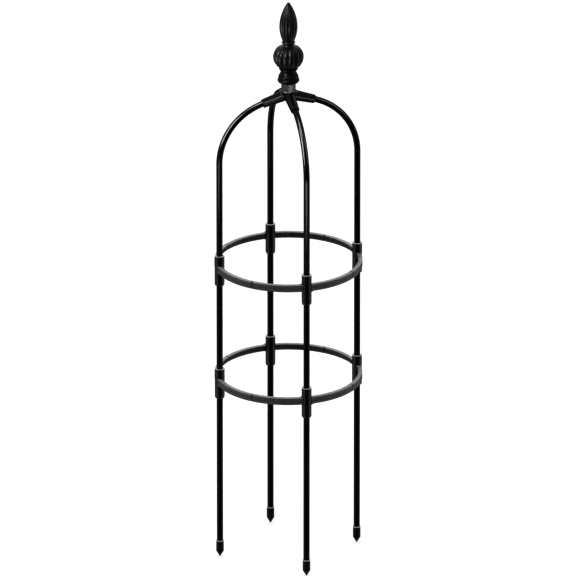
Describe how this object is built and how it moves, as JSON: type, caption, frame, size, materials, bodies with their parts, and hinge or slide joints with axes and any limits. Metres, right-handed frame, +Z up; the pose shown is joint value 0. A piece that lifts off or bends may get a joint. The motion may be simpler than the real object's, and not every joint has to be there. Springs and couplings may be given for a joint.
{
  "type": "garden obelisk",
  "caption": "Slim garden obelisk for climbing plants: coated steel poles arch in to a hub with a fluted finial, held by clip-together rings, on pointed feet.",
  "frame": {"origin": "on the ground, at the centre of the circle through the four foot tips", "axes": "+Z up along the obelisk; the poles stand on -Y (front), +X (right), +Y (back) and -X (left)"},
  "size_m": [0.2736, 0.2736, 1.0599],
  "materials": {
    "pole_coat": "satin black",
    "steel_tube": "bare rolled steel",
    "ring_plastic": "moulded, fine satin",
    "hub_plastic": "moulded, fine satin",
    "tip_plastic": "moulded, satin",
    "finial": "olive black satin"
  },
  "bodies": {
    "root": {"finial": "finial", "hub": "hub_plastic", "arch_coat_front": "pole_coat", "arch_steel_front": "steel_tube", "middle_coat_front": "pole_coat", "middle_steel_front": "steel_tube", "leg_coat_front": "pole_coat", "leg_steel_front": "steel_tube", "upper_ring_front": "ring_plastic", "lower_ring_front": "ring_plastic", "foot_tip_front": "tip_plastic", "arch_coat_right": "pole_coat", "arch_steel_right": "steel_tube", "middle_coat_right": "pole_coat", "middle_steel_right": "steel_tube", "leg_coat_right": "pole_coat", "leg_steel_right": "steel_tube", "upper_ring_right": "ring_plastic", "lower_ring_right": "ring_plastic", "foot_tip_right": "tip_plastic", "arch_coat_back": "pole_coat", "arch_steel_back": "steel_tube", "middle_coat_back": "pole_coat", "middle_steel_back": "steel_tube", "leg_coat_back": "pole_coat", "leg_steel_back": "steel_tube", "upper_ring_back": "ring_plastic", "lower_ring_back": "ring_plastic", "foot_tip_back": "tip_plastic", "arch_coat_left": "pole_coat", "arch_steel_left": "steel_tube", "middle_coat_left": "pole_coat", "middle_steel_left": "steel_tube", "leg_coat_left": "pole_coat", "leg_steel_left": "steel_tube", "upper_ring_left": "ring_plastic", "lower_ring_left": "ring_plastic", "foot_tip_left": "tip_plastic"}
  },
  "joints": []
}
